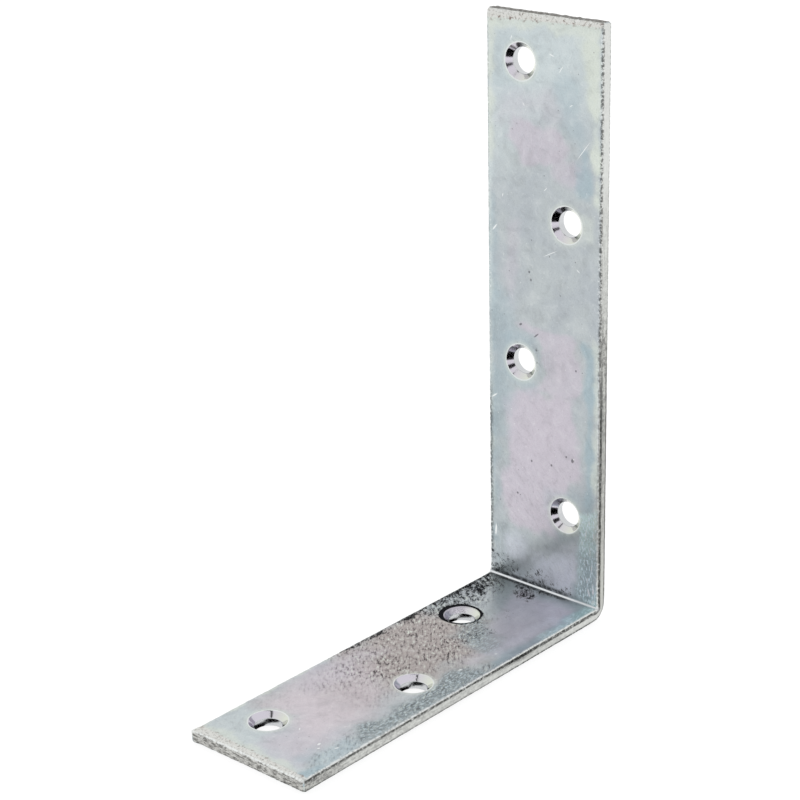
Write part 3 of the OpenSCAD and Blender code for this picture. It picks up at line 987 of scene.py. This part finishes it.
def zincPlate():
    material, start = freshMaterial("bluePassivatedZinc")

    def attribute(name, output="Fac"):
        return start.node("ShaderNodeAttribute", {"attribute_name": name}, None, output)

    place = attribute("stripPlace", "Vector")

    def texture(name):
        # noise on the strip's place, turned in its own plane and scaled where it has a direction
        direction, scale, detail, roughness, distortion = textures[name]
        coordinates = place
        if direction:
            turn = {"Vector": place, "Rotation": (0.0, 0.0, math.radians(direction[0]))}
            turned = start.node("ShaderNodeMapping", {}, turn, "Vector")
            stretch = {"Vector": turned, "Scale": direction[1:]}
            coordinates = start.node("ShaderNodeMapping", {}, stretch, "Vector")
        values = {"Vector": coordinates, "Scale": scale, "Detail": detail,
                  "Roughness": roughness, "Distortion": distortion}
        return start.node("ShaderNodeTexNoise", {}, values, "Fac")

    def most(first, *others):
        for other in others:
            first = start.maths("MAXIMUM", first, other)
        return first

    def marked(name, alongLeg):
        # 1 inside any of the named marks, each an ellipse on the inner face
        covers = []
        for across, distance, lean, halfLength, halfWide in marks[name]:
            values = {
                "Vector": place,
                "Location": (alongLeg(distance), across, 0.0),
                "Rotation": (0.0, 0.0, math.radians(lean)),
                "Scale": (halfLength, halfWide, 1.0),
            }
            local = start.node("ShaderNodeMapping", {"vector_type": "TEXTURE"}, values, "Vector")
            reach = start.node("ShaderNodeVectorMath", {"operation": "LENGTH"}, {0: local}, "Value")
            covers.append(reach.between(1.0, markEdge))
        return most(*covers)

    def zone(wire, name):
        # 1 inside the named zone, measured by the wire
        begin, full, *end = zones[name]
        cover = wire.between(begin, full)
        return cover * wire.between(end[1], end[0]) if end else cover

    def shown(name):
        # the named effect's share at each place
        source, begin, full, share, *least = effects[name]
        cover = pattern[source].between(begin, full) * share
        return cover + least[0] if least else cover

    # patterns: noise, stains and their mixes
    pattern = {name: texture(name) for name in textures}
    pattern.update({name: attribute(name) for name in stains})
    for name, parts in mixes.items():
        pattern[name] = sum(pattern[part] * share for part, share in parts.items())

    # distances on the strip, in millimetres
    along, across, depth = (start.node("ShaderNodeSeparateXYZ", {}, {0: place}, axis) for axis in "XYZ")
    fromSide = attribute("fromSide")
    fromEnd = attribute("fromEnd")
    fromEdge = attribute("edgeGap")
    fromMouth = attribute("holeRadius") - hole["mouthRadius"]
    fromThroat = attribute("holeRadius") - float(holes[0, 2] + 0.5 * hole["throatRound"])
    fromFold = start.maths("ABSOLUTE", along - (bendStart + bendEnd) / 2.0)
    fromTop = stripLength - along
    reach = strip["footLength"] - along

    # zones
    inner = zone(depth, "innerFace")
    inHole = zone(fromMouth, "hole") * zone(depth, "holeDepth")
    inBore = zone(fromThroat, "bore")
    onLip = zone(fromMouth, "lip")
    nearMouth = zone(fromMouth, "nearMouth") * (1.0 - inHole) * inner
    onSide = zone(fromSide, "side")
    onEnd = zone(fromEnd, "end") * (1.0 - onSide)
    rollEdge = fromEnd * (across * rollOver["skew"] + rollOver["scale"])
    rollEdge = rollEdge + (pattern["torn"] - 0.5) * rollOver["fray"]
    onRoll = zone(rollEdge, "roll") * inner * (1.0 - onEnd) * (1.0 - onSide)
    rollBorder = zone(rollEdge, "rollBorder") * inner * (1.0 - onSide)
    onFoot = along.between(bendEnd, bendStart)
    farFoot = zone(reach, "farFoot")
    atTop = zone(fromTop, "top")

    # passivation colours over the plating
    colour = shown("patinaClouds").tint(zinc["blueGrey"], zinc["palePatina"])
    uneven = shown("stainMottle")
    for name in stainOrder:
        colour = (pattern[name] * uneven).tint(colour, zinc[name])
    # painted light: a paler ring round each mouth on the inner face stands in for the soft lighter shading
    # there
    colour = (nearMouth * shares["mouthPatina"]).tint(colour, zinc["palePatina"])
    colour = (pattern["foldTeal"] * shown("foldMottle")).tint(colour, zinc["pit"])
    for name, paint in unevenness.items():
        colour = shown(name).tint(colour, zinc[paint])

    # dark strokes of the foot, soot, and dirt with painted shade by the fold, pits and bright flecks
    speckled = pattern["speckle"] * shown("speckleClouds") * shown("speckleSmudge")
    speckle = speckled * shown("speckleStrokes")
    colour = (speckled * shown("speckleMottle")).tint(colour, zinc["stroke"])
    colour = (speckle * shares["speckle"]).tint(colour, zinc["stroke"])
    colour = (speckled * shown("speckleGlint")).tint(colour, zinc["palePatina"])
    soot = shown("sootGrain") * shown("sootBorder")
    colour = soot.tint(colour, zinc["soot"])
    # dirt and painted shade: dark mottled bands either side of the fold's bright middle
    foldDirt = zone(fromFold, "foldDirt") * inner * shown("foldDirt")
    foldDirt = foldDirt * (1.0 - zone(across, "foldDirtRight") * shares["foldDirtRight"])
    colour = foldDirt.tint(colour, zinc["soot"])
    pits = most(shown("loosePits"), marked("pit", alongUpright))
    colour = (pits * shares["pits"]).tint(colour, zinc["pit"])
    scratches = shown("scratches") * shown("scratchGaps")
    bright = most(
        shown("looseFlecks"), scratches, marked("fleck", alongUpright) * shares["flecks"],
        marked("footFleck", alongFoot) * shares["footFlecks"],
    )
    colour = bright.tint(colour, zinc["fleck"])
    rubbed = shown("rubbed") * most(pattern["foldTeal"], pattern["slate"] * shares["slateRubs"])
    colour = rubbed.tint(colour, zinc["nick"])

    # rolled sides with their dark lines, which are painted shade of the sides' round profile
    edgeWear = attribute("edgeWear")
    lined = attribute("sideLine")
    # sideShade: real wear where edgeWear is high, painted shade where a side is lined
    sideShade = most(edgeWear, lined * (1.0 - onFoot * shares["footSideClean"]))
    sideLight = sideShade.tint(zinc["side"], zinc["sideWorn"])
    sideColour = (1.0 - (1.0 - shown("sideStreak")) * edgeWear).tint(zinc["sideDark"], sideLight)
    ragged = depth + (pattern["grain"] - 0.5) * sideLines["fray"]
    upper = zone(ragged, "upperLine") * zone(ragged + farFoot * sideLines["upperThin"], "upperLineEnd")
    lower = zone(ragged - farFoot * sideLines["lowerSink"], "lowerLine")
    lower = lower * (1.0 - farFoot * sideLines["lowerFade"])
    lines = (upper + lower) * lined * (shown("lineGaps") - onFoot * shown("footLineGaps"))
    colour = onSide.tint(colour, lines.tint(sideColour, zinc["sideLine"]))

    # sheared ends
    rollColour = shown("rollTorn").tint(zinc["rolledDark"], zinc["rolledEnd"])
    rollColour = (shown("topRust") * atTop).tint(rollColour, zinc["rust"])
    colour = (onRoll * shares["roll"]).tint(colour, rollColour)
    colour = (rollBorder * shown("borderRust")).tint(colour, zinc["rust"])
    endColour = shown("endLayers").tint(zinc["tornDark"], zinc["torn"])
    colour = onEnd.tint(colour, (atTop * shares["topEnd"]).tint(endColour, zinc["topEnd"]))

    # dirt along the edges, painted highlights on the edges, and the fold's painted highlight
    atInnerEnd = zone(fromEnd, "innerEnd") * zone(depth, "innerEndDepth")
    left, right = shares["edgeDirtLeft"], shares["edgeDirtRight"]
    edgeDirt = zone(fromEdge, "edgeDirt") * shown("edgeBeads") * (1.0 - atInnerEnd)
    edgeDirt = edgeDirt * (zone(across, "rightHalf") * (right - left) + left)
    edgeDirt = edgeDirt * (1.0 - lined * zone(depth, "edgeCleanDepth") * shares["edgeClean"])
    edgeDirt = most(edgeDirt, attribute("edgeGrime") * shown("grimeBeads"))
    colour = edgeDirt.tint(colour, zinc["soot"])
    # painted highlights in the fleck colour: a bright line along the rolled edge over each side's lines,
    # and a broken shine near the edges of the inner face
    edgeLine = zone(fromEdge, "edgeLine") * zone(depth, "edgeLineDepth") * lined
    edgeShine = zone(fromEdge, "edgeShine") * shown("edgeShine") * inner
    colour = most(edgeShine, edgeLine * (1.0 - shown("lineBeads"))).tint(colour, zinc["fleck"])
    # painted highlight: a bright, broken line along the middle of the fold's inner face, weaker on the
    # right
    burnish = zone(fromFold, "burnish") * inner * shown("burnish")
    burnish = burnish * (1.0 - zone(across, "burnishRight") * shares["burnishRight"])
    colour = burnish.tint(colour, zinc["burnish"])

    # cut cones and bores
    coneColour = zone(attribute("holeSide"), "coneSide").tint(zinc["coneLeft"], zinc["coneRight"])
    colour = inHole.tint(colour, coneColour)
    colour = inBore.tint(colour, zinc["bore"])
    colour = (onLip * inner * (1.0 - soot) * shares["lip"]).tint(colour, zinc["fleck"])

    # roughness of the faces, the sides with the ends, the cones and the bores
    dirt = most(soot, edgeDirt)
    rough = {"mottle": pattern["mottle"] - 0.5, "dirt": dirt, "speckle": speckle, "bright": bright,
             "nearFold": pattern["nearFold"]}
    roughness = sum(rough[name] * share for name, share in roughening.items()) + zinc["faceRoughness"]
    plain = (1.0 - inHole) * (1.0 - onSide) * (1.0 - onEnd)
    roughness = roughness * plain + (onSide + onEnd) * zinc["sideRoughness"]
    roughness = roughness + inHole * (1.0 - inBore) * zinc["coneRoughness"] + inBore * zinc["boreRoughness"]

    # relief: fine grain on the faces, strokes on the foot, lengthwise grain on the sides, torn ends
    grain, lengthwise, torn = (pattern[name] for name in ("grain", "lengthwise", "torn"))
    raised = {
        "faceGrain": grain * plain, "faceLines": lengthwise * plain, "scratches": scratches * plain,
        "pits": pits * plain, "speckle": speckle, "soot": soot, "sideGrain": grain * onSide,
        "sideLines": lengthwise * onSide, "tornEnd": torn * onEnd, "tornRoll": torn * onRoll,
    }
    height = sum(raised[name] * share for name, share in heights.items())
    bumpValues = {"Strength": zinc["bumpStrength"], "Distance": zinc["bumpHeight"], "Height": height}
    bump = start.node("ShaderNodeBump", {}, bumpValues, "Normal")

    # dirt is dull: no metal, and no gloss of its own; rubs and the light by the fold are partly so
    film = most(rubbed * shares["rubFilm"], pattern["nearFold"] * shares["foldFilm"], dirt)
    values = {"Base Color": colour, "Metallic": 1.0 - film, "Roughness": roughness, "Normal": bump,
              "Specular IOR Level": 0.0}
    shader = start.node("ShaderNodeBsdfPrincipled", {}, values, "BSDF")
    start.node("ShaderNodeOutputMaterial", {}, {"Surface": shader})
    print("zinc material", len(start.tree.nodes), "nodes")
    return material


bracket = buildBracket()
bracket.data.materials.append(zincPlate())
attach(bracket, "root")
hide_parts("angle_bracket")

# The photograph's view: angles in degrees, lengths in metres, shifts as shares of the picture.
view = {
    "azimuth": 41.862,
    "elevation": 19.735,
    "roll": -1.150,
    "aim": (0.03, 0.0, 0.062),
    "distance": 0.45622,
    "sideStep": -0.01089,
    "rise": 0.00852,
    "sensor": 36.0,             # millimetres, as the lens
    "lens": 93.98,
    "shift": (-0.0208, -0.0629),
    "clip": (0.01, 50.0),
}


def placeCamera():
    azimuth, elevation, roll = (math.radians(view[name]) for name in ("azimuth", "elevation", "roll"))
    ground = math.cos(elevation)
    back = Vector((ground * math.cos(azimuth), ground * math.sin(azimuth), math.sin(elevation)))
    level = Vector((-math.sin(azimuth), math.cos(azimuth), 0.0))
    upright = back.cross(level)
    right = math.cos(roll) * level + math.sin(roll) * upright
    up = math.cos(roll) * upright - math.sin(roll) * level
    place = Vector(view["aim"]) + back * view["distance"] + right * view["sideStep"] + up * view["rise"]
    data = bpy.data.cameras.new("photoView")
    data.sensor_width = view["sensor"]
    data.lens = view["lens"]
    data.shift_x, data.shift_y = view["shift"]
    data.clip_start, data.clip_end = view["clip"]
    camera = addObject("photoView", data)
    turn = Matrix((right, up, back)).transposed().to_4x4()
    camera.matrix_world = Matrix.Translation(place) @ turn
    bpy.context.scene.camera = camera
    return place, back


cameraPlace, cameraBack = placeCamera()

studio = {
    "floorSize": 6.0,
    "floorDrop": 0.0003,
    "floorGlow": 0.84,          # what the floor shows of the white background
    "floorShade": 0.25,         # its own colour, which takes the shadow
    "worldLight": 0.70,         # light on the floor and in shadows
    "lamps": [
        # name, place, size, power
        ("keyLamp", (-0.5, -1.0, 1.3), 0.9, 9.0),
        ("fillLamp", (1.2, 0.9, 1.1), 0.8, 4.0),
    ],
    # dark discs that only reflections see: name, centre, radius
    "flags": [
        ("frontFlag1", (0.030, 0.034, 0.0006), 0.0165),
        ("frontFlag2", (0.060, 0.060, 0.0008), 0.034),
        ("frontFlag3", (0.110, 0.125, 0.0010), 0.055),
        ("frontFlag4", (0.175, 0.200, 0.0012), 0.056),
        ("frontFlag5", (0.105, 0.055, 0.0014), 0.036),
        ("frontFlag6", (0.160, 0.066, 0.0016), 0.042),
        ("frontFlag7", (0.215, 0.074, 0.0018), 0.042),
        ("ceilingFlag", (0.200, 0.080, 0.80), 0.18),
        ("tickFlag1", (0.276, 0.029, 0.30), 0.030),
        ("tickFlag2", (0.232, 0.034, 0.30), 0.028),
    ],
    # the dark discs under the foot holes are painted shade: they stand in for the shade beneath the foot in
    # reflections
    "boreFlag": (1.9, -2.0, 3.3),   # under each foot hole: millimetres to the free end, across, and radius
    "cameraFlag": (0.05, 0.10),     # how far behind the camera, and its radius
    "flagSides": 48,
}


def seenDirectly(start):
    # 1 for rays from the camera and for what metal and glass show, 0 for the light that falls on things
    kinds = ("Is Camera Ray", "Is Glossy Ray", "Is Transmission Ray")
    camera, glossy, through = (start.node("ShaderNodeLightPath", {}, {}, kind) for kind in kinds)
    return start.maths("MAXIMUM", start.maths("MAXIMUM", camera, glossy), through)


def whiteWorld():
    world = bpy.data.worlds.new("whiteRoom")
    world.use_nodes = True
    tree = world.node_tree
    background = tree.nodes["Background"]
    background.inputs["Color"].default_value = (1.0, 1.0, 1.0, 1.0)
    seen = seenDirectly(Wire(tree, None))
    strength = seen * (1.0 - studio["worldLight"]) + studio["worldLight"]
    tree.links.new(strength.socket, background.inputs["Strength"])
    bpy.context.scene.world = world


def card(name, corners, material):
    mesh = bpy.data.meshes.new(name)
    mesh.from_pydata(corners, [], [tuple(range(len(corners)))])
    mesh.materials.append(material)
    made = addObject(name, mesh)
    return made


def paleFloor():
    material, start = freshMaterial("paleFloor")
    shade = studio["floorShade"]
    paint = start.node("ShaderNodeBsdfDiffuse", {}, {"Color": (shade, shade, shade, 1.0)})
    glow = start.node("ShaderNodeEmission", {}, {"Strength": seenDirectly(start) * studio["floorGlow"]})
    front = start.node("ShaderNodeAddShader", {}, {0: paint, 1: glow})
    clear = start.node("ShaderNodeBsdfTransparent")
    fromBelow = start.node("ShaderNodeNewGeometry", {}, {}, "Backfacing")
    both = start.node("ShaderNodeMixShader", {}, {0: fromBelow, 1: front, 2: clear})
    start.node("ShaderNodeOutputMaterial", {}, {"Surface": both})
    half, low = studio["floorSize"] / 2.0, -studio["floorDrop"]
    corners = [(-half, -half, low), (half, -half, low), (half, half, low), (-half, half, low)]
    card("floor", corners, material)


def darkFlags():
    behind, wide = studio["cameraFlag"]
    lead, step, size = studio["boreFlag"]
    upwards = (0.0, 0.0, 1.0)
    flags = [(name, centre, upwards, radius) for name, centre, radius in studio["flags"]]
    flags.append(("cameraFlag", cameraPlace + cameraBack * behind, -cameraBack, wide))
    # painted shade: a dark disc under each foot hole, seen only in reflections, for the shade beneath the
    # foot
    for number, (along, across, _) in enumerate(holes[holes[:, 0] < bendStart]):
        centre = ((alongFoot(along) + lead) / metre, (across + step) / metre, 0.0)
        flags.append((f"boreFlag{number}", centre, upwards, size / metre))
    angles = np.linspace(0.0, 2.0 * np.pi, studio["flagSides"], endpoint=False)
    material, start = freshMaterial("darkCard")
    dark = start.node("ShaderNodeEmission", {}, {"Strength": 0.0})
    start.node("ShaderNodeOutputMaterial", {}, {"Surface": dark})
    for name, centre, facing, radius in flags:
        turn = Vector(facing).to_track_quat("Z", "Y")
        rim = np.stack([np.cos(angles), np.sin(angles), 0.0 * angles], axis=1) * radius
        flag = card(name, [Vector(centre) + turn @ Vector(point) for point in rim.tolist()], material)
        flag.visible_camera = False
        flag.visible_diffuse = False
        flag.visible_transmission = False
        flag.visible_shadow = False


def hangLamps():
    for name, place, size, power in studio["lamps"]:
        data = bpy.data.lights.new(name, "AREA")
        data.shape = "DISK"
        data.size = size
        data.energy = power
        lamp = addObject(name, data)
        lamp.visible_glossy = False     # metal shows the white room, not the lamps
        lamp.location = place
        lamp.rotation_mode = "QUATERNION"
        lamp.rotation_quaternion = (Vector(view["aim"]) - Vector(place)).to_track_quat("-Z", "Y")


whiteWorld()
paleFloor()
darkFlags()
hangLamps()
bpy.context.scene.view_settings.view_transform = "Standard"
print("studio set")
